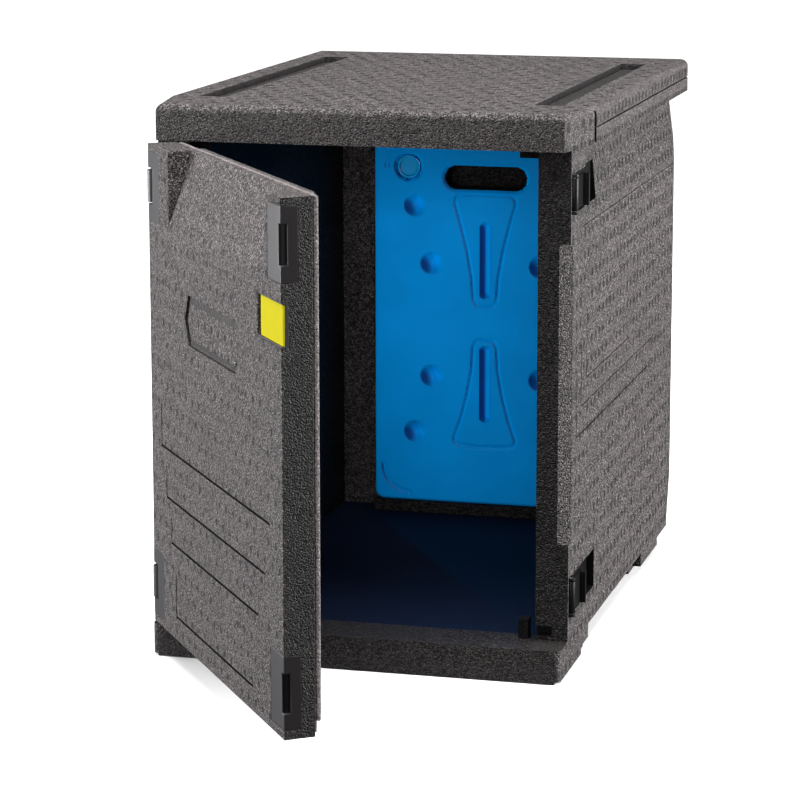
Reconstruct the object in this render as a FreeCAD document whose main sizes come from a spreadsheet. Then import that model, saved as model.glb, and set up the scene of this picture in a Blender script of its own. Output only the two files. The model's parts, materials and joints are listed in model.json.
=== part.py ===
"""Insulated food carrier: foamed carcass with a side-hung door, snap straps, a tag and a cold plate.

The frame is +X right as seen from the front, +Y towards the back, +Z up. Every piece is laid out
from the sill's front plane (Y = 0) and the floor (Z = 0), then set back so that the origin is
the middle of the front foot's sole. The door is laid out shut and placed at its resting angle.
"""
import FreeCAD
import Part
import os
import re
import Sketcher
from FreeCAD import Placement, Rotation, Vector

DIMENSIONS = {
    # carcass: outer shell, wall faces and floor
    "half_width": 257, "depth": 766, "front_face": 46, "wall_base": 30, "wall_top": 638.5,
    "inner_half": 217, "inner_back": 721, "corner_radius": 18,
    "taper_start": 540, "taper_in": 9, "taper_back": 21,
    # sill and feet
    "sill_depth": 67, "sill_top": 41.5, "foot_front": 128, "foot_step": 172, "foot_rear": 530,
    "foot_end": 653, "foot_edge": 250, "base_back": 727, "low_taper": 146, "low_in": 39,
    "rail_inner": 196, "rail_outer": 230, "rail_drop": 8,
    # lid slab
    "lip_half": 252.5, "lip_face": 26, "lid_half": 270, "flare_end": 124, "lid_back": 776,
    "lid_top": 683, "ceiling": 636, "lid_round": 10, "slot_inner": 194.5, "slot_outer": 229,
    "slot_front": 123, "slot_back": 675, "slot_depth": 8, "lid_seam": 658,
    # door, laid out shut
    "door_low": 43, "door_high": 637, "slab_thick": 36, "rim_start": 37.5, "rim_end": 43,
    "plug_end": 57, "plug_half": 208, "plug_low": 46, "plug_high": 634, "rim_low": 60,
    "bevel_low": 548, "bevel_in": 29, "bevel_left": -169, "bevel_right": 200,
    # straps, seats, pins and corner plates
    "upper_mid": 586, "lower_mid": 95, "pin_across": 258.5, "pin_back": 56, "knuckle": 5.3,
    "seat_pin": 2.5, "running": 0.05, "seat_face": 245, "recess_end": 203, "recess_half": 24,
    "strap_half": 19.5, "strap_near": 257.5, "strap_far": 260.5, "axis_across": 248.5,
    "axis_back": 4.5, "eye": 4.2, "hinge_pin": 1.75, "plate_wide": 46, "plate_half": 42,
    "plate_skin": 3, "plate_side": 20, "slot_half": 22, "arm_near": 254, "arm_far": 257,
    # identification tag
    "tag_left": 175, "tag_right": 256.5, "tag_low": 477, "tag_high": 521.5,
    # cold plate
    "cold_half": 162.5, "cold_front": 690.5, "cold_back": 720.5, "cold_low": 45, "cold_high": 575,
    "cap_across": -112, "cap_height": 529, "cap_radius": 17,
    # how the pieces stand at rest
    "setback": 64, "door_open": 54.7,
}

doc = FreeCAD.newDocument("carrier")
dims = doc.addObject("Spreadsheet::Sheet", "dims")
for row, (alias, value) in enumerate(DIMENSIONS.items(), start=1):
    dims.set(f"A{row}", alias)
    dims.set(f"B{row}", str(value))
    dims.setAlias(f"B{row}", alias)
doc.recompute()

ALIAS = re.compile(r"\b(" + "|".join(DIMENSIONS) + r")\b")
nodes = []


def bound(text):
    """An expression on the sheet, written with bare aliases."""
    return ALIAS.sub(r"dims.\1", str(text))


def bind(item, **properties):
    for name, text in properties.items():
        item.setExpression(name.replace("__", "."), bound(text))
    return item


def box(xs, ys, zs, name="block"):
    """A block between two X, two Y and two Z expressions."""
    item = doc.addObject("Part::Box", name)
    return bind(
        item,
        Length=f"({xs[1]}) - ({xs[0]})",
        Width=f"({ys[1]}) - ({ys[0]})",
        Height=f"({zs[1]}) - ({zs[0]})",
        Placement__Base__x=xs[0],
        Placement__Base__y=ys[0],
        Placement__Base__z=zs[0],
    )


def rod(x, y, low, high, radius, name="rod"):
    """An upright cylinder."""
    item = doc.addObject("Part::Cylinder", name)
    return bind(
        item,
        Radius=radius,
        Height=f"({high}) - ({low})",
        Placement__Base__x=x,
        Placement__Base__y=y,
        Placement__Base__z=low,
    )


def prism(points, low, high, plane="XY_Plane", name="Profile"):
    """A PartDesign body: a polygon of bound vertices, padded between two offsets from a plane.

    The XZ plane's normal is -Y, so there the pad starts at the far offset.
    """
    body = doc.addObject("PartDesign::Body", name)
    origin = next(f for f in body.Origin.OriginFeatures if f.Role == plane)
    sketch = body.newObject("Sketcher::SketchObject", f"{name}Sketch")
    sketch.AttachmentSupport = (origin, [""])
    sketch.MapMode = "FlatFace"
    rough = [(dims_value(a), dims_value(b)) for a, b in points]
    count = len(rough)
    for index in range(count):
        start = Vector(*rough[index], 0)
        end = Vector(*rough[(index + 1) % count], 0)
        sketch.addGeometry(Part.LineSegment(start, end), False)
    for index in range(count):
        following = (index + 1) % count
        sketch.addConstraint(Sketcher.Constraint("Coincident", index, 2, following, 1))
    for index, (a, b) in enumerate(points):
        for kind, text, value in (("DistanceX", a, rough[index][0]), ("DistanceY", b, rough[index][1])):
            where = sketch.addConstraint(Sketcher.Constraint(kind, -1, 1, index, 1, value))
            sketch.setExpression(f"Constraints[{where}]", bound(text))
    bind(sketch, AttachmentOffset__Base__z=f"-({high})" if plane == "XZ_Plane" else low)
    pad = body.newObject("PartDesign::Pad", f"{name}Pad")
    pad.Profile = sketch
    bind(pad, Length=f"({high}) - ({low})")
    sketch.Visibility = False
    body.Tip = pad
    return body


def dims_value(text):
    """The present value of an expression on the sheet's numbers."""
    if isinstance(text, str):
        text = doc.dims.evalExpression(text)
    return float(text)


def cut(base, *tools, name="Cut"):
    for tool in tools:
        item = doc.addObject("Part::Cut", name)
        item.Base = base
        item.Tool = tool
        base = item
    return base


def fuse(*shapes, name="Fuse"):
    item = doc.addObject("Part::MultiFuse", name)
    item.Shapes = list(shapes)
    item.Refine = True
    return item


def soften(base, size, chosen, kind="Part::Fillet"):
    """Round, or chamfer, the edges that chosen accepts from the edge and its middle point."""
    doc.recompute()
    item = doc.addObject(kind, "Softened")
    item.Base = base
    picked = []
    for index, edge in enumerate(base.Shape.Edges, start=1):
        middle = edge.valueAt((edge.FirstParameter + edge.LastParameter) / 2)
        if chosen(edge, middle):
            picked.append((index, size, size))
    item.Edges = picked
    return item


def chamfered_ends(base, size):
    """A cylinder with both of its rims chamfered."""
    return soften(base, size, lambda edge, middle: edge.Closed, "Part::Chamfer")


def upright(edge):
    low, high = edge.Vertexes[0].Point, edge.Vertexes[-1].Point
    return abs(low.x - high.x) < 0.01 and abs(low.y - high.y) < 0.01


SETBACK = Placement(Vector(0, -DIMENSIONS["setback"], 0), Rotation())
AXIS = Vector(-DIMENSIONS["axis_across"], DIMENSIONS["axis_back"], 0)
SWING = Placement(Vector(), Rotation(Vector(0, 0, 1), -DIMENSIONS["door_open"]), AXIS)


def node(item, label, hung=False):
    """Name a finished piece and place it; hung pieces turn with the door."""
    item.Label = label
    item.Placement = SETBACK.multiply(SWING) if hung else SETBACK
    nodes.append(item)


doc.recompute()


def across(side, near, far):
    """The X span between two distances from the middle, on the right (1) or the left (-1)."""
    return (near, far) if side > 0 else (f"-({far})", f"-({near})")


def level(mid, half):
    """The Z span of a given half height about a fitting's middle."""
    return (f"{mid} - ({half})", f"{mid} + ({half})")


def signed(side, text):
    return str(text) if side > 0 else f"-({text})"


# ---- carcass ----

def carcass_base():
    full = ("-half_width", "half_width")
    floor = box(full, ("0", "base_back"), ("0", "wall_base"), "Floor")
    sill = box(full, ("0", "sill_depth"), ("wall_base", "sill_top"), "Sill")
    ledge = box(("-cold_half", "cold_half"), ("cold_front - 6", "inner_back"), ("wall_base", "cold_low"),
                "Ledge")
    posts = [
        box(across(side, "inner_half - 21", "inner_half - 9"), ("front_face", "front_face + 16"),
            ("sill_top", 66), "Post")
        for side in (1, -1)
    ]
    relief = [
        box(("-rail_inner", "rail_inner"), ("foot_front", "foot_rear"), (-1, "rail_drop"), "Hollow"),
        box(("-half_width - 1", "half_width + 1"), ("foot_end", "base_back + 1"), (-1, 22), "Heel"),
    ]
    for side in (1, -1):
        edge = across(side, "foot_edge", "half_width + 1")
        relief += [
            box(edge, (-1, "foot_front"), (-1, 3), "ToeEdge"),
            box(edge, ("foot_front", "foot_step"), (-1, 13), "ToeStep"),
            box(across(side, "rail_outer", "half_width + 1"), ("foot_step", "foot_rear"),
                (-1, "wall_base + 1"), "Waist"),
            box(across(side, 240, "half_width + 1"), ("foot_rear", "foot_end"), (-1, 12), "HeelEdge"),
        ]
    node(cut(fuse(floor, sill, ledge, *posts), *relief), "carcass_base")


def fitting_recess(side, mid):
    """The pocket in a side wall for a seat and its strap; the hinge side's is open to the front."""
    start = "front_face + 3.5" if side > 0 else "front_face - 1"
    return box(
        across(side, "seat_face", "half_width + 1"),
        (start, "recess_end"),
        level(mid, "recess_half"),
        "Recess",
    )


def side_taper(side):
    """The wedge taken off a side above the crease."""
    edge = "half_width"
    points = [(edge, "taper_start"), (f"{edge} + 2", "taper_start"), (f"{edge} + 2", "wall_top + 1"),
              (f"{edge} - taper_in", "wall_top + 1")]
    points = [(signed(side, a), b) for a, b in points]
    return prism(points, "foot_front", "depth + 1", "XZ_Plane", "SideTaper")


SIDE_GROOVES = (  # front end, height of the upturned front end, line height, back end
    (146, 434, 348, 420),
    (114, 407, 318, 600),
    (88, 358, 284, 560),
)


def carcass_wall(side, label):
    wall = box(across(side, "inner_half", "half_width"), ("front_face", "inner_back"),
               ("wall_base", "wall_top"), "Wall")
    grip = prism(
        [(signed(side, "half_width - 15"), "front_face - 1"),
         (signed(side, "half_width + 2"), "front_face - 1"),
         (signed(side, "half_width + 2"), "front_face + 14")],
        162, 527, "XY_Plane", "Grip",
    )
    notch = box(across(side, "inner_half - 1", "inner_half + 20"), ("front_face - 1", "front_face + 10"),
                (47, 59), "Notch")
    sill_seat = box(across(side, "inner_half - 1", "half_width + 1"), ("front_face - 1", "sill_depth"),
                    ("wall_base - 1", "sill_top"), "SillSeat")
    tools = [grip, notch, sill_seat, side_taper(side)]
    tools += [fitting_recess(side, mid) for mid in ("upper_mid", "lower_mid")]
    skin = across(side, "half_width - 1.2", "half_width + 1")
    for front, top, line, back in SIDE_GROOVES:
        tools.append(box(skin, (front, back), (line, line + 2), "Groove"))
        tools.append(box(skin, (front, front + 2), (line, top), "GrooveEnd"))
    node(cut(wall, *tools), label)


def carcass_back():
    wall = box(("-half_width", "half_width"), ("inner_back", "depth"), ("wall_base", "wall_top"),
               "BackWall")
    rear = DIMENSIONS["depth"] - 1
    round_back = soften(wall, DIMENSIONS["corner_radius"], lambda e, m: upright(e) and m.y > rear)
    high = prism(
        [("depth", "taper_start"), ("depth + 2", "taper_start"), ("depth + 2", "wall_top + 1"),
         ("depth - taper_back", "wall_top + 1")],
        "-half_width - 1", "half_width + 1", "YZ_Plane", "HighTaper",
    )
    low = prism(
        [("depth", "low_taper"), ("depth - low_in", "wall_base - 1"), ("depth + 2", "wall_base - 1"),
         ("depth + 2", "low_taper")],
        "-half_width - 1", "half_width + 1", "YZ_Plane", "LowTaper",
    )
    node(cut(round_back, side_taper(1), side_taper(-1), high, low), "carcass_wall_back")


def lid():
    outline = [("-lip_half", "lip_face"), ("lip_half", "lip_face"), ("lid_half", "flare_end"),
               ("lid_half", "lid_back"), ("-lid_half", "lid_back"), ("-lid_half", "flare_end")]
    slab = prism(outline, "wall_top", "lid_top", "XY_Plane", "Lid")
    top = DIMENSIONS["lid_top"]
    rounded = soften(slab, DIMENSIONS["lid_round"], lambda e, m: abs(m.z - top) < 0.01)
    ceiling = box(("-inner_half + 0.5", "inner_half - 0.5"), ("sill_depth + 2", "inner_back - 0.5"),
                  ("ceiling", "wall_top"), "Ceiling")
    tools = []
    for side in (1, -1):
        tools.append(box(across(side, "slot_inner", "slot_outer"), ("slot_front", "slot_back"),
                         ("lid_top - slot_depth", "lid_top + 1"), "StackSlot"))
        tools.append(box(across(side, "lid_half - 1.5", "lid_half + 1"), ("flare_end + 1", "lid_back + 1"),
                         ("lid_seam - 1", "lid_seam + 1"), "Seam"))
    node(cut(fuse(rounded, ceiling), *tools), "lid_slab")


# ---- seats, pins and straps ----

def seat(side, mid, label):
    """A liner with two lugs that hold the strap's pin."""
    plate = box(across(side, "seat_face", "seat_face + 3"), ("front_face + 4", "recess_end"),
                level(mid, "recess_half"), "SeatPlate")
    parts = [plate]
    for low, high in (("recess_half - 4", "recess_half"), ("-recess_half", "-recess_half + 4")):
        span = (f"{mid} + {low}", f"{mid} + {high}")
        parts.append(box(across(side, "seat_face + 3", "pin_across"),
                         ("pin_back - knuckle", "pin_back + knuckle"), span, "Lug"))
        parts.append(rod(signed(side, "pin_across"), "pin_back", *span, "knuckle", "LugEnd"))
    bore = rod(signed(side, "pin_across"), "pin_back", *level(mid, "recess_half + 1"), "seat_pin",
               "SeatBore")
    node(cut(fuse(*parts), bore), label)


def seat_pin(side, mid, label):
    pin = rod(signed(side, "pin_across"), "pin_back", *level(mid, "recess_half"), "seat_pin", "SeatPin")
    node(chamfered_ends(pin, 0.5), label)


def latch_strap(mid, label):
    """A strap folded back along the side; turned half round, its nose reaches the door's slot."""
    span = level(mid, "strap_half")
    near, far = "2 * pin_across - strap_far", "2 * pin_across - strap_near"
    barrel = rod("pin_across", "pin_back", *span, "knuckle", "Barrel")
    arm = box((near, far), ("pin_back", "2 * pin_back + 6"), span, "Arm")
    nose = box((far, f"{far} + 7"), ("2 * pin_back - 7", "2 * pin_back - 2"), span, "Nose")
    bore = rod("pin_across", "pin_back", *level(mid, "strap_half + 1"), "seat_pin + running", "StrapBore")
    node(cut(fuse(barrel, arm, nose), bore), label)


def hinge_strap(mid, label):
    """A strap that stays forward, flush with the side, and carries the door's pin in its eye."""
    span = level(mid, "strap_half")
    barrel = rod("-pin_across", "pin_back", *span, "knuckle", "Barrel")
    arm = box(across(-1, "arm_near", "arm_far"), ("axis_back - 2", "pin_back"), span, "Arm")
    nose = box(across(-1, "axis_across", "arm_far"), ("axis_back - 2", "axis_back + 2"), span, "Nose")
    eye = rod("-axis_across", "axis_back", *span, "eye", "Eye")
    bores = [
        rod("-pin_across", "pin_back", *level(mid, "strap_half + 1"), "seat_pin", "StrapBore"),
        rod("-axis_across", "axis_back", *level(mid, "strap_half + 1"), "hinge_pin + running", "EyeBore"),
    ]
    node(cut(fuse(barrel, arm, nose, eye), *bores), label)


# ---- door, laid out shut ----

def plate_blank(side, mid):
    """A corner plate before its slot: a thin skin round the door's edge with a solid corner."""
    span = level(mid, "plate_half")
    return fuse(
        box(across(side, "half_width - plate_wide", "half_width"), ("0", "plate_skin"), span, "FrontSkin"),
        box(across(side, "half_width - plate_skin", "half_width"), ("0", "plate_side"), span, "SideSkin"),
        box(across(side, "half_width - 17", "half_width"), ("0", "12"), span, "Corner"),
    )


def hinge_clearance(mid):
    """The room in the door's edge for a hinge strap: round its eye, and along its arm."""
    span = level(mid, "slot_half")
    return fuse(
        rod("-axis_across", "axis_back", *span, 10.5, "Swing"),
        box(across(-1, "arm_near - 0.5", "arm_far + 1"), (-1, "plug_end"), span, "ArmGroove"),
    )


def door_plates():
    for mid, name in (("upper_mid", "upper"), ("lower_mid", "lower")):
        span = level(mid, "slot_half + 12")
        bore = rod("-axis_across", "axis_back", *span, "hinge_pin", "PinBore")
        node(cut(plate_blank(-1, mid), hinge_clearance(mid), bore), f"door_plate_hinge_{name}", True)
        slot = box(across(1, "half_width - 7", "half_width + 1"), (-1, 8), level(mid, "slot_half"),
                   "LatchSlot")
        node(cut(plate_blank(1, mid), slot), f"door_plate_latch_{name}", True)
        pin = rod("-axis_across", "axis_back", *span, "hinge_pin", "HingePin")
        node(chamfered_ends(pin, 0.4), f"hinge_pin_{name}", True)


GROOVES = (  # left end, right end, line height, height of the upturned left end
    (-214, 212, 272, 325),
    (-194, 195, 212, 253),
    (-176, 168, 159, 191),
    (-160, 147, 71, 123),
)
BADGE = ((-106, 447), (-92, 477), (92, 477), (106, 447), (92, 417), (-92, 417))


def door_slab():
    slab = box(("-half_width", "half_width"), ("0", "slab_thick"), ("door_low", "door_high"), "Slab")
    bevel = prism(
        [("0", "bevel_low"), ("bevel_in", "door_high + 1"), (-2, "door_high + 1"), (-2, "bevel_low")],
        "bevel_left", "bevel_right", "YZ_Plane", "Bevel",
    )
    badge = prism([(str(a), str(b)) for a, b in BADGE], -1, 3, "XZ_Plane", "Badge")
    tag = box(("tag_left - 2", "half_width + 1"), (-1, 8.5), ("tag_low - 2", "tag_high + 2"), "TagPocket")
    tools = [bevel, badge, tag]
    for left, right, line, top in GROOVES:
        tools.append(box((left, right), (-1, 2.5), (line, line + 3), "Groove"))
        tools.append(box((left, left + 3), (-1, 2.5), (line, top), "GrooveEnd"))
    for mid in ("upper_mid", "lower_mid"):
        tools += [plate_blank(-1, mid), plate_blank(1, mid), hinge_clearance(mid)]
    node(cut(slab, *tools), "door_slab", True)


def door_inner_panel():
    web = box(("-half_width + 4", "half_width - 4"), ("slab_thick", "rim_start"),
              ("door_low + 4", "door_high - 4"), "Web")
    rim = box(("-half_width", "half_width"), ("rim_start", "rim_end"), ("rim_low", "door_high"), "Rim")
    plug = box(("-plug_half", "plug_half"), ("rim_end", "plug_end"), ("plug_low", "plug_high"), "Plug")
    notches = [
        box(across(side, 190, "plug_half + 1"), ("rim_end", "plug_end + 1"), ("plug_low - 1", 69),
            "PlugNotch")
        for side in (1, -1)
    ]
    grooves = [hinge_clearance(mid) for mid in ("upper_mid", "lower_mid")]
    node(cut(fuse(web, rim, plug), *notches, *grooves), "door_inner_panel", True)


def tag_parts():
    floor = box(("tag_left - 2", "half_width"), ("5", "8.5"), ("tag_low - 2", "tag_high + 2"),
                "HolderFloor")
    rails = [
        box(("tag_left - 2", "half_width"), ("1", "5"), span, "HolderRail")
        for span in (("tag_low - 2", "tag_low - 0.3"), ("tag_high + 0.3", "tag_high + 2"))
    ]
    node(fuse(floor, *rails), "tag_holder", True)
    tag = box(("tag_left", "tag_right"), ("2", "4.7"), ("tag_low", "tag_high"), "Tag")
    node(soften(tag, 1.5, lambda edge, middle: abs(edge.Length - 2.7) < 0.01), "id_tag", True)


# ---- cold plate ----

def cold_plate():
    slab = box(("-cold_half", "cold_half"), ("cold_front", "cold_back"), ("cold_low", "cold_high"),
               "ColdSlab")
    low, high = DIMENSIONS["cold_low"], DIMENSIONS["cold_high"]
    half = DIMENSIONS["cold_half"]

    def corner(edge, middle):
        at_end = min(abs(middle.z - low), abs(middle.z - high)) < 0.01
        return at_end and abs(abs(middle.x) - half) < 0.01

    rounded = soften(slab, 12, corner)
    grip = box((-42, 42), ("cold_front - 1", "cold_back + 1"), (498.5, 532.5), "Grip")
    ends = []
    for place in (-42, 42):
        end = doc.addObject("Part::Cylinder", "GripEnd")
        end.Placement = Placement(Vector(0, 0, 515.5), Rotation(Vector(1, 0, 0), -90))
        bind(end, Radius=17, Height="cold_back - cold_front + 2", Placement__Base__x=place,
             Placement__Base__y="cold_front - 1")
        ends.append(end)
    well = doc.addObject("Part::Cylinder", "CapWell")
    well.Placement = Placement(Vector(), Rotation(Vector(1, 0, 0), -90))
    bind(well, Radius="cap_radius + 0.05", Height=8, Placement__Base__x="cap_across",
         Placement__Base__y="cold_front - 1", Placement__Base__z="cap_height")
    node(cut(rounded, grip, *ends, well), "cold_plate_shell")
    cap = doc.addObject("Part::Cylinder", "Cap")
    cap.Placement = Placement(Vector(), Rotation(Vector(1, 0, 0), -90))
    bind(cap, Radius="cap_radius", Height=6.5, Placement__Base__x="cap_across",
         Placement__Base__y="cold_front + 0.4", Placement__Base__z="cap_height")
    node(chamfered_ends(cap, 1), "cold_plate_cap")


carcass_base()
carcass_wall(-1, "carcass_wall_left")
carcass_wall(1, "carcass_wall_right")
carcass_back()
lid()
for mid, name in (("upper_mid", "upper"), ("lower_mid", "lower")):
    seat(1, mid, f"latch_seat_{name}")
    seat_pin(1, mid, f"latch_pin_{name}")
    latch_strap(mid, f"latch_strap_{name}")
    seat(-1, mid, f"hinge_seat_{name}")
    seat_pin(-1, mid, f"hinge_seat_pin_{name}")
    hinge_strap(mid, f"hinge_strap_{name}")
door_slab()
door_inner_panel()
door_plates()
tag_parts()
cold_plate()
doc.recompute()

for item in doc.Objects:
    if "Invalid" in item.State or "Error" in item.State:
        raise RuntimeError(f"{item.Name} ({item.Label}) failed: {item.State}")
for item in nodes:
    if item.Shape.isNull() or not item.Shape.isValid():
        raise RuntimeError(f"{item.Label} has no valid shape")
os.makedirs("parts", exist_ok=True)
for item in nodes:
    item.Shape.exportStep(f"parts/{item.Label}.step")
print(len(nodes), "pieces,", round(sum(item.Shape.Volume for item in nodes) / 1e6, 1), "litres")
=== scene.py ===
import json
import math
import bmesh
import bpy
import numpy as np
from mathutils import Matrix, Vector


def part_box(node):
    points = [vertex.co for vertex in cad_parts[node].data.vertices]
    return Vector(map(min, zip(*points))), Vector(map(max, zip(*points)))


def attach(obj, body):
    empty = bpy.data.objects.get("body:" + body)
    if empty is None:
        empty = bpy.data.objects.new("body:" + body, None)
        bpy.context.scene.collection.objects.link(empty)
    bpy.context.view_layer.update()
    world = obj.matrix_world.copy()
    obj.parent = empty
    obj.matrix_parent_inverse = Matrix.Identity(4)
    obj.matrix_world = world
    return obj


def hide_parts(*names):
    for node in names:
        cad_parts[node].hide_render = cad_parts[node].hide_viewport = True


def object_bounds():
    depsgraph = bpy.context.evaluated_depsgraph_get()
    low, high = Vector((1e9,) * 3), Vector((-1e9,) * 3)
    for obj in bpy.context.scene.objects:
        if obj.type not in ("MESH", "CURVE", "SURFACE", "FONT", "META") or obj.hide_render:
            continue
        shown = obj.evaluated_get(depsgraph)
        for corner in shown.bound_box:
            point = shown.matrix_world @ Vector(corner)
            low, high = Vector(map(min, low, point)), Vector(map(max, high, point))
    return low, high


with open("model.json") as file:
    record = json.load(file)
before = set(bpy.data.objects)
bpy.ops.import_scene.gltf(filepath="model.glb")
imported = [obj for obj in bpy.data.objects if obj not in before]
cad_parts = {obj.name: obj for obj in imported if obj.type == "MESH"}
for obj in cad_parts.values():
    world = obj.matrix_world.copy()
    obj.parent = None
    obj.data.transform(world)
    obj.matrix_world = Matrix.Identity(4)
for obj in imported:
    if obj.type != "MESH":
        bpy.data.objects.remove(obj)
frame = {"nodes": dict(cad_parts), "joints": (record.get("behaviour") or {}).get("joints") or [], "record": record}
cad_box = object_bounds()

MM = 0.001
JOINTS = {joint["name"]: joint for joint in frame["joints"]}


# ---- node helpers ----

class Net:
    """A material's node tree, with short calls for the nodes used here."""

    def __init__(self, name):
        self.material = bpy.data.materials.new(name)
        self.material.use_nodes = True
        self.tree = self.material.node_tree
        self.tree.nodes.clear()
        output = self.tree.nodes.new("ShaderNodeOutputMaterial")
        self.shader = self.tree.nodes.new("ShaderNodeBsdfPrincipled")
        self.tree.links.new(self.shader.outputs[0], output.inputs[0])

    def node(self, kind, **settings):
        made = self.tree.nodes.new(kind)
        for key, value in settings.items():
            setattr(made, key, value)
        return made

    def put(self, socket, value):
        if isinstance(value, bpy.types.NodeSocket):
            self.tree.links.new(value, socket)
        elif socket.type == "VECTOR" and len(value) == 4:
            socket.default_value = value[:3]
        elif value is not None:
            socket.default_value = value

    def math(self, operation, *values, clamp=False):
        made = self.node("ShaderNodeMath", operation=operation, use_clamp=clamp)
        for socket, value in zip(made.inputs, values):
            self.put(socket, value)
        return made.outputs[0]

    def ramp(self, value, low, high, start=0.0, end=1.0):
        """value mapped smoothly from low..high to start..end."""
        made = self.node("ShaderNodeMapRange", interpolation_type="SMOOTHSTEP")
        for name, item in (("Value", value), ("From Min", low), ("From Max", high), ("To Min", start),
                           ("To Max", end)):
            self.put(made.inputs[name], item)
        return made.outputs[0]

    def mix(self, share, first, second):
        made = self.node("ShaderNodeMix", data_type="RGBA")
        self.put(made.inputs[0], share)
        self.put(made.inputs[6], first)
        self.put(made.inputs[7], second)
        return made.outputs[2]

    def scaled(self, colour, factor):
        """colour times a number."""
        made = self.node("ShaderNodeVectorMath", operation="SCALE")
        self.put(made.inputs[0], colour)
        self.put(made.inputs[3], factor)
        return made.outputs[0]

    def place(self):
        """Object coordinates: the piece's own frame, in metres."""
        return self.node("ShaderNodeTexCoord").outputs["Object"]

    def stretched(self, vector, by):
        made = self.node("ShaderNodeMapping")
        self.put(made.inputs["Vector"], vector)
        made.inputs["Scale"].default_value = by
        return made.outputs[0]

    def noise(self, vector, scale, detail=2.0, rough=0.5):
        made = self.node("ShaderNodeTexNoise")
        self.put(made.inputs["Vector"], vector)
        made.inputs["Scale"].default_value = scale
        made.inputs["Detail"].default_value = detail
        made.inputs["Roughness"].default_value = rough
        return made.outputs["Fac"]

    def cells(self, vector, scale, feature="F1", smooth=0.6):
        made = self.node("ShaderNodeTexVoronoi", feature=feature)
        self.put(made.inputs["Vector"], vector)
        made.inputs["Scale"].default_value = scale
        if feature == "SMOOTH_F1":
            made.inputs["Smoothness"].default_value = smooth
        return made.outputs["Distance"]

    def bump(self, height, distance, strength=1.0, after=None):
        made = self.node("ShaderNodeBump")
        made.inputs["Strength"].default_value = strength
        made.inputs["Distance"].default_value = distance
        self.put(made.inputs["Height"], height)
        if after is not None:
            self.put(made.inputs["Normal"], after)
        return made.outputs[0]

    def done(self, colour, roughness, normal=None, **fixed):
        self.put(self.shader.inputs["Base Color"], colour)
        self.put(self.shader.inputs["Roughness"], roughness)
        if normal is not None:
            self.put(self.shader.inputs["Normal"], normal)
        for name, value in fixed.items():
            self.shader.inputs[name.replace("_", " ")].default_value = value
        return self.material


# ---- materials ----

def vents(net, place, normal, planes):
    """Steam-vent marks: small round dents in rows, on the faces that planes lists; one row on the lid's sides is
    painted seam shade instead.

    planes holds (face axis, first axis, second axis, first pitch, second pitch, stagger, phases, size).
    """
    parts = net.node("ShaderNodeSeparateXYZ")
    net.put(parts.inputs[0], place)
    facing = net.node("ShaderNodeSeparateXYZ")
    net.put(facing.inputs[0], normal)
    wander = net.noise(place, 31.0, 1.0)
    total = None
    for face, first, second, pitch_a, pitch_b, stagger, phase_a, phase_b, size in planes:
        b = net.math("ADD", parts.outputs[second], phase_b)
        b = net.math("MULTIPLY_ADD", wander, 0.006, b)
        line = net.math("DIVIDE", b, pitch_b)
        row = net.math("FLOOR", line)
        odd = net.math("MULTIPLY", net.math("MODULO", row, 2.0), stagger)
        a = net.math("ADD", net.math("DIVIDE", net.math("ADD", parts.outputs[first], phase_a), pitch_a), odd)
        column = net.math("FLOOR", a)
        da = net.math("MULTIPLY", net.math("SUBTRACT", net.math("SUBTRACT", a, column), 0.5), pitch_a)
        db = net.math("MULTIPLY", net.math("SUBTRACT", net.math("SUBTRACT", line, row), 0.5), pitch_b)
        away = net.math("SQRT", net.math("ADD", net.math("MULTIPLY", da, da), net.math("MULTIPLY", db, db)))
        dot = net.ramp(away, 0.0042 * size, 0.0018 * size)
        seed = net.node("ShaderNodeCombineXYZ")
        net.put(seed.inputs[0], row)
        net.put(seed.inputs[1], column)
        chance = net.node("ShaderNodeTexWhiteNoise", noise_dimensions="2D")
        net.put(chance.inputs["Vector"], seed.outputs[0])
        dot = net.math("MULTIPLY", dot, net.ramp(chance.outputs["Value"], 0.0, 0.5, 0.35, 1.0))
        square_on = net.ramp(net.math("ABSOLUTE", facing.outputs[face]), 0.93, 0.99)
        dot = net.math("MULTIPLY", dot, square_on)
        total = dot if total is None else net.math("MAXIMUM", total, dot)
    return total


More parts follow.
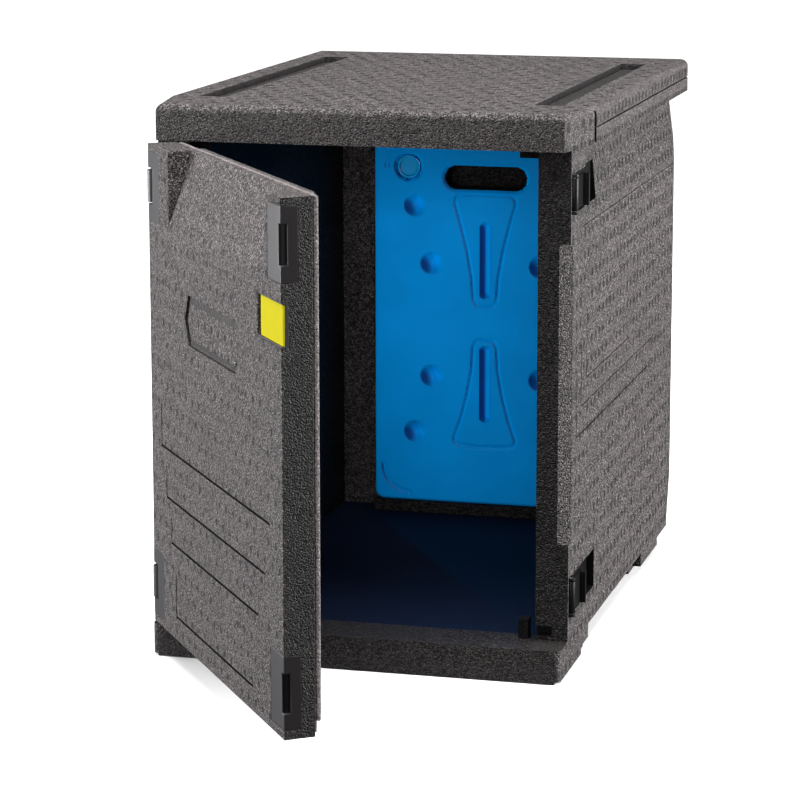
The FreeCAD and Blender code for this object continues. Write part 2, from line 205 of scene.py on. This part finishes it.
def foam(name, tone, planes=(), grain=1.0, contrast=1.0, roughness=0.6, specular=0.2):
    """Moulded bead foam: fused beads a few millimetres across with a fine skin grain."""
    net = Net(name)
    place = net.place()
    patch = net.node("ShaderNodeTexVoronoi", feature="F1")
    net.put(patch.inputs["Vector"], place)
    patch.inputs["Scale"].default_value = 470.0
    seed = net.node("ShaderNodeSeparateColor")
    net.put(seed.inputs[0], patch.outputs["Color"])
    fine = net.noise(place, 620.0, 1.0, 0.5)
    broad = net.noise(place, 9.0, 2.0)
    shade = net.math("MULTIPLY_ADD", net.math("SUBTRACT", fine, 0.5), 4.2 * contrast, 1.0, clamp=False)
    patchy = net.math("MULTIPLY_ADD", seed.outputs[0], 1.3 * contrast, 1.0 - 0.65 * contrast)
    shade = net.math("MULTIPLY", shade, patchy)
    shade = net.math("MAXIMUM", shade, 0.12)
    shade = net.math("MULTIPLY", shade, net.math("MULTIPLY_ADD", broad, 0.24, 0.88))
    height = net.math("MULTIPLY_ADD", fine, 0.7, net.math("MULTIPLY", patch.outputs["Distance"], -0.8))
    normal = net.bump(height, 0.0014 * grain)
    if planes:
        facing = net.node("ShaderNodeTexCoord").outputs["Normal"]
        dots = vents(net, place, facing, planes)
        shade = net.math("MULTIPLY", shade, net.math("MULTIPLY_ADD", dots, -0.88, 1.0))
        normal = net.bump(net.math("MULTIPLY", dots, -1.0), 0.0014, after=normal)
    warm = net.mix(broad, (tone * 1.06, tone * 0.93, tone * 0.95, 1.0), (tone * 1.07, tone * 0.95, tone * 0.93, 1.0))
    return net.done(net.scaled(warm, shade), roughness, normal, Specular_IOR_Level=specular)


def moulded(name, colour, roughness, grain=0.00005, scale=900.0, specular=0.5, dent_shade=None):
    """Moulded plastic: a fine even texture with faint flow variation. The last argument, when given, is painted shade:
    the colour of faces leaning right and up, the dents' shaded sides; faces leaning left and down are painted up to
    1.35 times brighter as light.
    """
    net = Net(name)
    place = net.place()
    fine = net.noise(place, scale, 2.0)
    broad = net.noise(place, 14.0, 2.0)
    tint = net.scaled(tuple(colour), net.math("MULTIPLY_ADD", broad, 0.24, 0.88))
    if dent_shade is not None:
        facing = net.node("ShaderNodeSeparateXYZ")
        net.put(facing.inputs[0], net.node("ShaderNodeTexCoord").outputs["Normal"])
        # Painted shade on faces leaning right and up, painted light on faces leaning left and down.
        lean = net.math("MULTIPLY_ADD", facing.outputs[2], 0.35, net.math("MULTIPLY", facing.outputs[0], 0.85))
        tint = net.mix(net.ramp(lean, 0.03, 0.62), tint, dent_shade)
        tint = net.scaled(tint, net.ramp(lean, -0.12, -0.5, 1.0, 1.35))
    rough = net.math("MULTIPLY_ADD", fine, 0.12, roughness - 0.06)
    return net.done(tint, rough, net.bump(fine, grain), Specular_IOR_Level=specular)


def steel(name):
    """Drawn steel pin: fine lines along its length."""
    net = Net(name)
    lines = net.noise(net.stretched(net.place(), (3000.0, 3000.0, 60.0)), 1.0, 2.0)
    rough = net.math("MULTIPLY_ADD", lines, 0.2, 0.2)
    return net.done((0.52, 0.52, 0.53, 1.0), rough, net.bump(lines, 0.00002), Metallic=1.0)


SIDE_VENTS = (0, 1, 2, 0.0232, 0.0273, 0.0, 0.3, 0.3, 1.7)
DOOR_VENTS = (1, 0, 2, 0.0261, 0.0247, 0.5, 0.3, 0.3, 1.35)
# Painted shade: a row of dark dots along the lid's lower edge stands in for the shade of the seam with the body.
LID_SEAM_SHADE_DOTS = (0, 1, 2, 0.012, 0.2, 0.0, 0.3, 0.0555, 0.95)
LID_EDGE_DOTS = (2, 0, 1, 0.027, 1.0, 0.0, 0.3, 0.459, 0.8)
LID_VENTS = (2, 0, 1, 0.0285, 0.0265, 0.5, 0.3, 0.3, 1.8)

FOAM_BODY = foam("foam_body", 0.041, (SIDE_VENTS,), 1.6, 2.1)
FOAM_DOOR = foam("foam_door", 0.045, (DOOR_VENTS,), 1.6, 1.8)
FOAM_LID = foam("foam_lid", 0.043, (LID_VENTS, SIDE_VENTS, LID_SEAM_SHADE_DOTS, LID_EDGE_DOTS), 1.2, 1.6)
# Painted shade: a much darker copy of the body foam for the front faces round the opening.
FOAM_FRONT_SHADE = foam("foam_front_shade", 0.009, (), 1.4, 1.7, 0.5, 0.16)
# Painted shade: a darker copy of the body foam for faces turned half toward the front.
FOAM_GRIP_SHADE = foam("foam_grip_shade", 0.034, (), 1.2, 1.7)
# Painted shade: a darker copy of the body foam for the front faces along the bottom.
FOAM_SILL_SHADE = foam("foam_sill_shade", 0.021, (), 1.2, 1.4)
# Painted shade: a near-black copy of the foam for the cavity's walls, the sill top, the lid's underside and the deep
# faces of the cold plate's handle hole.
FOAM_INSIDE_SHADE = foam("foam_inside_shade", 0.012, (), 1.0, 1.4, 0.6, 0.1)
# Painted shade: the cavity's back wall gets its own darker, glossier copy of the foam.
FOAM_BACK_SHADE = foam("foam_back_shade", 0.034, (), 2.0, 2.6, 0.3, 0.5)
# Painted shade: a dark copy of the foam for the lid's slots and the plaque's ring groove.
FOAM_SLOT_SHADE = foam("foam_slot_shade", 0.014, (), 1.0, 1.2)
# Painted shadow: a near-black copy of the foam for grooves, seams, gaps, notches and the keeps under the lid.
FOAM_GAP_SHADE = foam("foam_gap_shade", 0.004, (), 0.5, 0.8, 0.7, 0.05)
# The cavity floor's dark skin; its blue tint is painted reflection of the cold plate.
FLOOR_SKIN_REFLECTED_BLUE = moulded("floor_skin_reflected_blue", (0.005, 0.008, 0.02, 1.0), 0.5, 0.0001, 300.0, 0.02)
PLATE = moulded("plate_grey", (0.0255, 0.0242, 0.0275, 1.0), 0.42, specular=0.2)
BLACK = moulded("fitting_black", (0.002, 0.002, 0.0023, 1.0), 0.4, specular=0.12)
STEEL = steel("pin_steel")
YELLOW = moulded("tag_yellow", (0.34, 0.3, 0.004, 1.0), 0.55, 0.00001, specular=0.02)
# The cold plate and cap carry painted shade on faces leaning right and up, and painted light on faces leaning the
# other way.
BLUE = moulded("cold_blue", (0.0, 0.335, 0.92, 1.0), 0.42, 0.00002, 500.0, 0.08, (0.006, 0.07, 0.3, 1.0))
BLUE_CAP = moulded("cap_blue", (0.0, 0.34, 0.8, 1.0), 0.2, 0.000004, 200.0, 0.6, (0.003, 0.1, 0.34, 1.0))

SLOT_LOOK = {"foam": FOAM_BODY, "fitting": BLACK, "plate": PLATE, "pin": STEEL, "tag": YELLOW,
             "cold": BLUE, "cap": BLUE_CAP}
for entry in frame["record"]["subparts"]:
    item = frame["nodes"][entry["node"]]
    look = SLOT_LOOK[entry["material_slot"]]
    for index in range(len(item.material_slots)):
        item.material_slots[index].material = look


# ---- pieces ----

SETBACK = Matrix.Translation((0.0, -0.064, 0.0))
AXIS = Matrix.Translation(JOINTS["door_swing"]["pos_m"])
TURN = Matrix.Rotation(math.radians(JOINTS["door_swing"]["range_deg"][0]), 4, "Z")
HUNG = AXIS @ TURN @ AXIS.inverted() @ SETBACK


def narrow(face):
    """A face's mean width."""
    return 2.0 * face.calc_area() / max(face.calc_perimeter(), 1e-9)


def taken(names, layout):
    """CAD nodes copied as one mesh, in a layout's own coordinates."""
    shape = bmesh.new()
    for name in names:
        shape.from_mesh(frame["nodes"][name].data)
    bmesh.ops.transform(shape, matrix=layout.inverted(), verts=shape.verts)
    bmesh.ops.remove_doubles(shape, verts=shape.verts, dist=2e-6)
    return shape


def block(low, high):
    """A box between two corners given in millimetres."""
    shape = bmesh.new()
    corners = [(x, y, z) for x in (low[0], high[0]) for y in (low[1], high[1]) for z in (low[2], high[2])]
    return hull(shape, corners)


def hull(shape, corners):
    """The convex body round points given in millimetres."""
    for corner in corners:
        shape.verts.new([c * MM for c in corner])
    bmesh.ops.convex_hull(shape, input=shape.verts)
    return shape


def merged(first, operation, *others):
    """first joined with or cut by the other shapes."""
    meshes = []
    for shape in (first, *others):
        mesh = bpy.data.meshes.new("working")
        shape.to_mesh(mesh)
        shape.free()
        item = bpy.data.objects.new("working", mesh)
        bpy.context.scene.collection.objects.link(item)
        meshes.append(item)
    for other in meshes[1:]:
        change = meshes[0].modifiers.new("change", "BOOLEAN")
        change.operation = operation
        change.solver = "EXACT"
        change.object = other
    bpy.context.view_layer.update()
    graph = bpy.context.evaluated_depsgraph_get()
    result = bmesh.new()
    result.from_mesh(meshes[0].evaluated_get(graph).to_mesh())
    for item in meshes:
        mesh = item.data
        bpy.data.objects.remove(item)
        bpy.data.meshes.remove(mesh)
    bmesh.ops.remove_doubles(result, verts=result.verts, dist=2e-6)
    return result


def soften(shape, width, segments=3, chosen=None):
    """Round the sharp edges of the broad faces, or the ones that chosen accepts."""
    bmesh.ops.dissolve_limit(shape, angle_limit=0.012, verts=shape.verts, edges=shape.edges)
    edges = []
    for edge in shape.edges:
        if len(edge.link_faces) != 2 or not edge.is_convex or edge.calc_face_angle(0.0) < 0.5:
            continue
        if edge.calc_length() < 2.2 * width or min(narrow(face) for face in edge.link_faces) < 1.3 * width:
            continue
        middle = (edge.verts[0].co + edge.verts[1].co) / (2 * MM)
        if chosen is None or chosen(middle, (edge.verts[1].co - edge.verts[0].co).normalized()):
            edges.append(edge)
    bmesh.ops.bevel(shape, geom=edges, offset=width, offset_type="OFFSET", segments=segments,
                    profile=0.5, affect="EDGES", clamp_overlap=True)
    return shape


def finished(shape, name, body, layout, looks, nodes):
    """Make the piece's object. looks is a material, then (material, test) pairs; the last match wins."""
    mesh = bpy.data.meshes.new(name)
    mesh.materials.append(looks[0])
    for look, _ in looks[1:]:
        mesh.materials.append(look)
    for face in shape.faces:
        face.smooth = True
        face.material_index = 0
        centre = face.calc_center_median() / MM
        for index, (_, test) in enumerate(looks[1:], start=1):
            if test(centre, face.normal, face):
                face.material_index = index
    shape.to_mesh(mesh)
    shape.free()
    mesh.set_sharp_from_angle(angle=0.6)
    item = bpy.data.objects.new(name, mesh)
    bpy.context.scene.collection.objects.link(item)
    item.matrix_world = layout
    weighted = item.modifiers.new("weighted", "WEIGHTED_NORMAL")
    weighted.keep_sharp = True
    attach(item, body)
    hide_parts(*nodes)
    return item


def carcass():
    names = ("carcass_base", "carcass_wall_left", "carcass_wall_right", "carcass_wall_back")
    shapes = [taken([name], SETBACK) for name in names]
    shape = merged(shapes[0], "UNION", *shapes[1:])
    creases = [block((side * 255.8, 112, 539), (side * 259, 770, 541)) for side in (1, -1)]
    shape = merged(shape, "DIFFERENCE", *creases)
    keeps = [block((side * 192, 58, 627), (side * 217.5, 68, 637)) for side in (1, -1)]
    shape = merged(shape, "UNION", *keeps)
    soften(shape, 0.007, 4, lambda m, d: abs(d.z) > 0.9 and m.y < 1 and m.z < 45)
    soften(shape, 0.0022)

    # Narrow groove faces on the sides, painted near-black as shadow.
    def gap(c, n, face):
        return abs(c.x) > 254 and narrow(face) < 0.0013

    # The hinge and latch recesses in the sides, painted black as shade.
    def recess_shade(c, n, face):
        deep = 244 < abs(c.x) < 256.8 and 49 < c.y < 204
        return deep and min(abs(c.z - 586), abs(c.z - 95)) < 25

    # Cavity walls, painted near-black as shade.
    def inner(c, n, face):
        return abs(c.x) < 217.5 and 46 < c.y < 721.5 and 29 < c.z < 640

    # Front faces round the opening, which get the painted-shade foam.
    def ahead(c, n, face):
        return n.y < -0.75 and c.y < 48 and c.z > 45

    # The cavity floor, with the painted blue reflection.
    def floor(c, n, face):
        return n.z > 0.9 and abs(c.x) < 217.5 and 60 < c.y < 700 and c.z < 35

    # The notches by the posts and the two keeps under the lid, painted near-black as shadow.
    def catch(c, n, face):
        low = 190 < abs(c.x) < 238 and 44 < c.y < 64 and 42 < c.z < 68
        return low or (190 < abs(c.x) < 218 and 57 < c.y < 69 and 626 < c.z < 638)

    # The back wall's front-facing faces, painted with the darker back-wall foam as shade.
    def rear(c, n, face):
        return n.y < -0.9 and c.y > 700 and 30 < c.z < 640

    # Faces turned half toward the front, which get painted shade.
    def grip(c, n, face):
        return n.y < -0.5 and abs(n.x) > 0.5 and c.y < 62 and 150 < c.z < 540

    # Front faces along the bottom, which get painted shade.
    def face_low(c, n, face):
        return n.y < -0.7 and c.y < 3

    # The sill top, painted dark as shade.
    def sill(c, n, face):
        return n.z > 0.9 and abs(c.x) < 218 and c.y < 67 and 40 < c.z < 43

    finished(shape, "carcass_moulding", "carcass", SETBACK,
             (FOAM_BODY, (FOAM_FRONT_SHADE, ahead), (FOAM_GRIP_SHADE, grip), (FOAM_SILL_SHADE, face_low), (FOAM_GAP_SHADE, gap), (BLACK, recess_shade), (FOAM_INSIDE_SHADE, inner),
              (FOAM_BACK_SHADE, rear), (FOAM_INSIDE_SHADE, sill), (FOAM_GAP_SHADE, catch), (FLOOR_SKIN_REFLECTED_BLUE, floor)), names)


def lid():
    shape = taken(["lid_slab"], SETBACK)
    notches = [hull(bmesh.new(), [(side * x, y, z) for x, y in ((265, 121), (265, 127), (272, 119.5), (272, 128.5))
                                  for z in (641, 678)]) for side in (1, -1)]
    shape = merged(shape, "DIFFERENCE", *notches)
    soften(shape, 0.003)

    # The lid's slots, painted dark as shade.
    def slot(c, n, face):
        return 194 < abs(c.x) < 229.5 and 122 < c.y < 676 and 674 < c.z < 682.5

    # Seam and notch faces on the lid's sides, painted near-black as shadow.
    def gap(c, n, face):
        seam = abs(c.x) > 265 and narrow(face) < 0.0022 and 656 < c.z < 660
        return seam or (abs(c.x) > 264 and 119 < c.y < 129 and 640 < c.z < 679 and narrow(face) < 0.008)

    # The lid's front faces, with their own painted tone.
    def ahead(c, n, face):
        return n.y < -0.9 and c.y < 30

    # The lid's underside, painted dark as shade.
    def under(c, n, face):
        return c.z < 639 and abs(c.x) < 240

    finished(shape, "lid_moulding", "carcass", SETBACK,
             (FOAM_LID, (FOAM_FRONT_LIT, ahead), (FOAM_SLOT_SHADE, slot), (FOAM_GAP_SHADE, gap), (FOAM_INSIDE_SHADE, under)),
             ("lid_slab",))


PLAQUE = ((-106, 447), (-92, 477), (92, 477), (106, 447), (92, 417), (-92, 417))


def door():
    shape = taken(["door_slab"], HUNG)
    foot = [(x * 0.955, 447 + (z - 447) * 0.86) for x, z in PLAQUE]
    crown = [(x * 0.9, 447 + (z - 447) * 0.7) for x, z in PLAQUE]
    shape = merged(shape, "UNION",
                   hull(bmesh.new(), [(x, 3.6, z) for x, z in foot] + [(x, 0.7, z) for x, z in crown]))
    facet = hull(bmesh.new(), [(199, -1, 612), (199, 29.5, 639), (199, -1, 639), (226, -1, 639)])
    shape = merged(shape, "DIFFERENCE", facet)
    soften(shape, 0.004)

    # Groove faces low on the door's front, painted near-black as shadow.
    def gap(c, n, face):
        return c.y < 3 and narrow(face) < 0.0035 and n.y < 0.5 and c.z < 330 and abs(c.x) < 216 and (
            abs(n.y) < 0.3 or c.y > 2)

    # The plaque's ring groove, painted dark as shade.
    def ring(c, n, face):
        return abs(c.x) < 107 and 416 < c.z < 478 and c.y > 0.1 and not (n.y < -0.9 and c.y < 2)

    # The door's free edge face, painted dark as shade.
    def edge(c, n, face):
        return n.x > 0.8 and c.x > 250

    finished(shape, "door_moulding", "door", HUNG, (FOAM_DOOR, (FOAM_EDGE_SHADE, edge), (FOAM_GAP_SHADE, gap),
                                                    (FOAM_SLOT_SHADE, ring)), ("door_slab",))

    card = soften(block((180.5, 2, 477), (256.5, 4.7, 521.5)), 0.0006, 2)
    finished(card, "tag_card", "tag", HUNG, (YELLOW,), ("id_tag",))

    lining = merged(
        soften(block((-253, 35, 47), (253, 39, 633)), 0.0005, 1), "UNION",
        soften(block((-257, 37.5, 60), (257, 43, 637)), 0.0022),
        soften(block((-208, 41, 46), (208, 57, 634)), 0.003),
    )
    gaps = [block((-258, 30, mid - 22), (-253.5, 58, mid + 22)) for mid in (586, 95)]
    gaps += [block((side * 190, 43, 45), (side * 209, 58, 69)) for side in (1, -1)]
    lining = merged(lining, "DIFFERENCE", *gaps)

    # The lining's rim strip, painted lighter as light.
    def strip(c, n, face):
        return c.y < 43.2 and abs(n.y) < 0.9

    finished(lining, "door_lining", "door", HUNG, (FOAM_DOOR, (FOAM_RIM_PAINTED_LIGHT, strip)), ("door_inner_panel",))


def plates():
    for kind, side in (("hinge", -1), ("latch", 1)):
        for level in ("upper", "lower"):
            name = f"door_plate_{kind}_{level}"
            shape = soften(taken([name], HUNG), 0.0016, 3)

            # Faces behind the plate's front, painted black as shade in its slot.
            def slot_shade(c, n, face):
                return 1.0 < c.y and abs(c.x) < 256.2

            # Outward side faces, painted darker as shade.
            def flank(c, n, face):
                return n.x * side > 0.8

            finished(shape, f"corner_{kind}_{level}", "door", HUNG,
                     (PLATE, (PLATE_SIDE_SHADE, flank), (BLACK, slot_shade)), (name,))


def along(px, pz, ax, az, bx, bz):
    """Distance from points to a straight stretch."""
    dx, dz = bx - ax, bz - az
    t = np.clip(((px - ax) * dx + (pz - az) * dz) / (dx * dx + dz * dz), 0, 1)
    return np.hypot(px - ax - t * dx, pz - az - t * dz)


def outline(px, pz, points):
    pairs = zip(points, points[1:])
    return np.minimum.reduce([along(px, pz, *a, *b) for a, b in pairs])


def arc(px, pz, cx, cz, radius, start, end):
    steps = [math.radians(start + (end - start) * i / 14) for i in range(15)]
    return outline(px, pz, [(cx + radius * math.cos(t), cz + radius * math.sin(t)) for t in steps])


def cold_plate():
    low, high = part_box("cold_plate_shell")
    half = (high.x - low.x) / 2 / MM
    bottom, top, deep = low.z / MM, high.z / MM, (high.y - low.y) / MM
    columns = int(2 * half / 1.9)
    rows = int((top - bottom) / 1.9)
    xs = np.linspace(-half, half, columns + 1)
    zs = np.linspace(bottom, top, rows + 1)
    px, pz = np.meshgrid(xs, zs)
    depth = np.zeros_like(px)

    def groove(away, wide, deep_at):
        return deep_at * np.clip(1 - (away / wide) ** 2, 0, 1)

    for cx, cz in ((79, 392), (79, 229.5), (103, 474), (103, 147)):
        for side in (1, -1):
            away = np.hypot(px - side * cx, pz - cz)
            depth = np.maximum(depth, 10.0 * np.clip(1 - (away / 16.0) ** 2, 0, 1) ** 1.1)
    for a, b in ((352, 444), (174, 267)):
        depth = np.maximum(depth, groove(along(px, pz, 0, a, 0, b), 8.5, 9.0))
    upper = [(0, 492), (34, 492), (42, 489), (44, 480), (35, 448), (26, 412), (19, 372), (17, 342), (12, 334),
             (0, 333)]
    lower = [(0, 284), (12, 283), (17, 275), (19, 240), (26, 202), (35, 168), (45, 140), (43, 133), (34, 130),
             (0, 129)]
    for points in (upper, lower):
        depth = np.maximum(depth, groove(outline(np.abs(px), pz, points), 3.2, 1.9))
    cap_low, cap_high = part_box("cold_plate_cap")
    cx, cz = (cap_low.x + cap_high.x) / 2 / MM, (cap_low.z + cap_high.z) / 2 / MM
    away = np.hypot(px - cx, pz - cz)
    depth = np.maximum(depth, groove(np.abs(away - 18.5), 3.0, 2.4))
    depth = np.where(away < 17.2, 7.0, depth)
    for radius in (27, 33):
        depth = np.maximum(depth, groove(arc(px, pz, cx, cz, radius, 100, 185), 2.2, 1.3))
    depth = np.maximum(depth, groove(arc(px, pz, -110, 97, 40, 180, 268), 3.0, 2.2))
    middle = (bottom + top) / 2
    border = np.minimum(half - np.abs(px), (top - bottom) / 2 - np.abs(pz - middle))
    depth += 4.0 * np.clip(1 - border / 4.0, 0, 1) ** 2
    hand = along(px, pz, -42, 515.5, 42, 515.5) - 17
    rim_x = np.clip(px, -42, 42)
    out = np.maximum(np.hypot(px - rim_x, pz - 515.5), 1e-6)
    near = np.abs(hand) < 1.0
    px = np.where(near, rim_x + (px - rim_x) / out * 17, px)
    pz = np.where(near, 515.5 + (pz - 515.5) / out * 17, pz)
    depth = np.where(hand < 7, np.maximum(depth, 3.2 * np.clip(1 - hand / 7, 0, 1) ** 2), depth)
    depth = np.where(hand < -1.0, deep - 2.0, depth)

    radius = 14.0
    cornered = np.clip(np.abs(px) - (half - radius), 0, None), np.clip(np.abs(pz - middle) - ((top - bottom) / 2
                                                                                             - radius), 0, None)
    beyond = np.maximum(np.maximum(cornered[0], cornered[1]), 1e-6) / np.maximum(np.hypot(*cornered), 1e-6)
    beyond = np.where((cornered[0] > 0) & (cornered[1] > 0), beyond, 1.0)
    px = np.where(beyond < 1, np.sign(px) * (half - radius + cornered[0] * beyond), px)
    pz = np.where(beyond < 1, middle + np.sign(pz - middle) * ((top - bottom) / 2 - radius + cornered[1] * beyond), pz)

    shape = bmesh.new()
    front = [[shape.verts.new((px[r, c] * MM, low.y + depth[r, c] * MM, pz[r, c] * MM))
              for c in range(columns + 1)] for r in range(rows + 1)]
    for r in range(rows):
        for c in range(columns):
            shape.faces.new((front[r][c], front[r][c + 1], front[r + 1][c + 1], front[r + 1][c]))
    ring = ([front[0][c] for c in range(columns)] + [front[r][columns] for r in range(rows)]
            + [front[rows][c] for c in range(columns, 0, -1)] + [front[r][0] for r in range(rows, 0, -1)])
    back = [shape.verts.new((v.co.x, high.y, v.co.z)) for v in ring]
    for i, vert in enumerate(ring):
        j = (i + 1) % len(ring)
        shape.faces.new((ring[j], vert, back[i], back[j]))
    shape.faces.new(list(reversed(back)))
    shape.normal_update()

    # Deep faces of the handle hole, painted with the dark inside foam as shade.
    def through(c, n, face):
        return c.y > low.y / MM + 5 and abs(c.x) < 60 and 497 < c.z < 534 and c.y < high.y / MM - 0.5

    finished(shape, "cold_plate_moulding", "cold_plate", Matrix.Identity(4), (BLUE, (FOAM_INSIDE_SHADE, through)),
             ("cold_plate_shell",))


def cap():
    """The filler cap: a dished disc with a raised rim."""
    low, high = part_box("cold_plate_cap")
    middle = (low + high) / 2
    radius = (high.x - low.x) / 2
    reach = high.y - low.y
    profile = ((0.0, 0.3), (0.62, 0.3), (0.72, 0.24), (0.78, 0.05), (0.84, 0.0), (0.91, 0.0), (0.97, 0.06),
               (1.0, 0.2), (1.0, 1.0))
    shape = bmesh.new()
    rings = []
    for part, depth in profile[1:]:
        turns = [2 * math.pi * i / 64 for i in range(64)]
        rings.append([shape.verts.new((middle.x + radius * part * math.cos(t), low.y + reach * depth,
                                       middle.z + radius * part * math.sin(t))) for t in turns])
    for inner, outer in zip(rings, rings[1:]):
        for i in range(64):
            j = (i + 1) % 64
            shape.faces.new((inner[i], inner[j], outer[j], outer[i]))
    shape.faces.new(rings[0])
    shape.faces.new(rings[-1])
    bmesh.ops.recalc_face_normals(shape, faces=shape.faces)
    finished(shape, "cap_disc", "cap", Matrix.Identity(4), (BLUE_CAP,), ("cold_plate_cap",))


def hinge_fittings():
    """The carcass half of the hinge, trimmed flush with the side."""
    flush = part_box("carcass_wall_left")[0].x + 0.0016
    for level in ("upper", "lower"):
        for kind, look in (("hinge_seat", BLACK), ("hinge_strap", PLATE), ("hinge_seat_pin", STEEL)):
            name = f"{kind}_{level}"
            shape = taken([name], SETBACK)
            for vert in shape.verts:
                vert.co.x = max(vert.co.x, flush)
            bmesh.ops.dissolve_degenerate(shape, dist=1e-5, edges=shape.edges)
            if kind == "hinge_strap":
                low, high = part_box(name)
                post = bmesh.new()
                bmesh.ops.create_cone(post, cap_ends=True, segments=48, radius1=0.0076, radius2=0.0076,
                                      depth=high.z - low.z)
                centre = SETBACK.inverted() @ Vector(JOINTS["door_swing"]["pos_m"])
                centre.z = (low.z + high.z) / 2
                bmesh.ops.translate(post, vec=centre, verts=post.verts)
                shape = merged(shape, "UNION", post)
            finished(shape, f"flush_{name}", "carcass", SETBACK, (look,), (name,))


def tidy_edges():
    """Small roundings on the fittings that keep their CAD shape."""
    for name, item in frame["nodes"].items():
        if item.hide_render:
            continue
        item.modifiers.new("weld", "WELD").merge_threshold = 2e-6
        flat = item.modifiers.new("flat", "DECIMATE")
        flat.decimate_type = "DISSOLVE"
        flat.angle_limit = 0.012
        edge = item.modifiers.new("edge", "BEVEL")
        edge.width = 0.0005
        edge.segments = 2
        edge.angle_limit = 0.6


# Painted light and shade: the lid's front faces get their own foam tone, darker than the lid and lighter than the
# other front faces.
FOAM_FRONT_LIT = foam("foam_lip", 0.032, (), 1.5, 1.3)
# Painted shade: a much darker copy of the door foam for the door's free edge face.
FOAM_EDGE_SHADE = foam("foam_door_edge_shade", 0.009, (), 1.2, 1.3)
# Painted light: a much lighter copy of the foam for the door lining's rim strip.
FOAM_RIM_PAINTED_LIGHT = foam("foam_rim_painted_light", 0.11, (), 0.7, 0.7)
# Painted shade: a darker copy of the plate grey for the plates' outward side faces.
PLATE_SIDE_SHADE = moulded("plate_flank_shade", (0.011, 0.0095, 0.0105, 1.0), 0.5, specular=0.15)

carcass()
lid()
door()
plates()
cold_plate()
cap()
hinge_fittings()
tidy_edges()


# ---- camera, light and floor ----

def studio():
    camera = bpy.data.objects.new("camera", bpy.data.cameras.new("camera"))
    bpy.context.scene.collection.objects.link(camera)
    camera.location = (0.98225, -3.50388, 1.07328)
    camera.rotation_euler = (math.pi / 2 - 0.1715, 0.0, 0.25563)
    camera.data.sensor_width = 36.0
    camera.data.lens = 137.0
    camera.data.shift_x = -0.0235
    camera.data.shift_y = -0.1213
    bpy.context.scene.camera = camera

    def lamp(name, where, aim, wide, high, power, colour=(1.0, 1.0, 1.0)):
        data = bpy.data.lights.new(name, "AREA")
        data.shape = "RECTANGLE"
        data.size, data.size_y = wide, high
        data.energy = power
        data.color = colour
        item = bpy.data.objects.new(name, data)
        bpy.context.scene.collection.objects.link(item)
        item.location = where
        item.rotation_euler = (Vector(aim) - Vector(where)).to_track_quat("-Z", "Y").to_euler()
        return item

    lamp("left_box", (-3.2, -0.2, 0.5), (0, 0, 0.35), 1.4, 1.8, 290)
    lamp("right_box", (2.9, 0.9, 0.8), (0.2, 0.3, 0.35), 1.4, 1.8, 285)
    lamp("top_box", (0.0, -0.5, 3.0), (0, 0.2, 0.6), 2.0, 2.0, 145)
    lamp("front_fill", (0.6, -3.8, 1.2), (0, 0.4, 0.3), 2.2, 1.0, 92)
    glow = lamp("inner_glow", (-0.18, 0.3, 0.33), (0.05, 0.63, 0.36), 0.06, 0.3, 0.4)
    glow.visible_camera = False
    glow.visible_glossy = False
    sky = bpy.data.lights.new("sky", "SUN")
    sky.energy = 4.0
    sky.angle = 0.9
    over = bpy.data.objects.new("sky", sky)
    bpy.context.scene.collection.objects.link(over)
    world = bpy.data.worlds.new("studio")
    world.use_nodes = True
    world.node_tree.nodes["Background"].inputs[0].default_value = (1.0, 1.0, 1.0, 1.0)
    world.node_tree.nodes["Background"].inputs[1].default_value = 0.1
    bpy.context.scene.world = world
    bpy.context.scene.view_settings.view_transform = "Standard"

    mesh = bpy.data.meshes.new("floor")
    mesh.from_pydata([(-30, -30, 0), (30, -30, 0), (30, 30, 0), (-30, 30, 0)], [], [(0, 1, 2, 3)])
    floor = bpy.data.objects.new("floor", mesh)
    bpy.context.scene.collection.objects.link(floor)
    floor.location.z = cad_box[0].z - 0.0005
    net = Net("floor")
    speck = net.noise(net.place(), 3.0, 2.0)
    mesh.materials.append(net.done(net.mix(speck, (0.88, 0.88, 0.88, 1.0), (0.9, 0.9, 0.9, 1.0)), 0.8))
    floor.visible_diffuse = False
    floor.visible_glossy = False


studio()
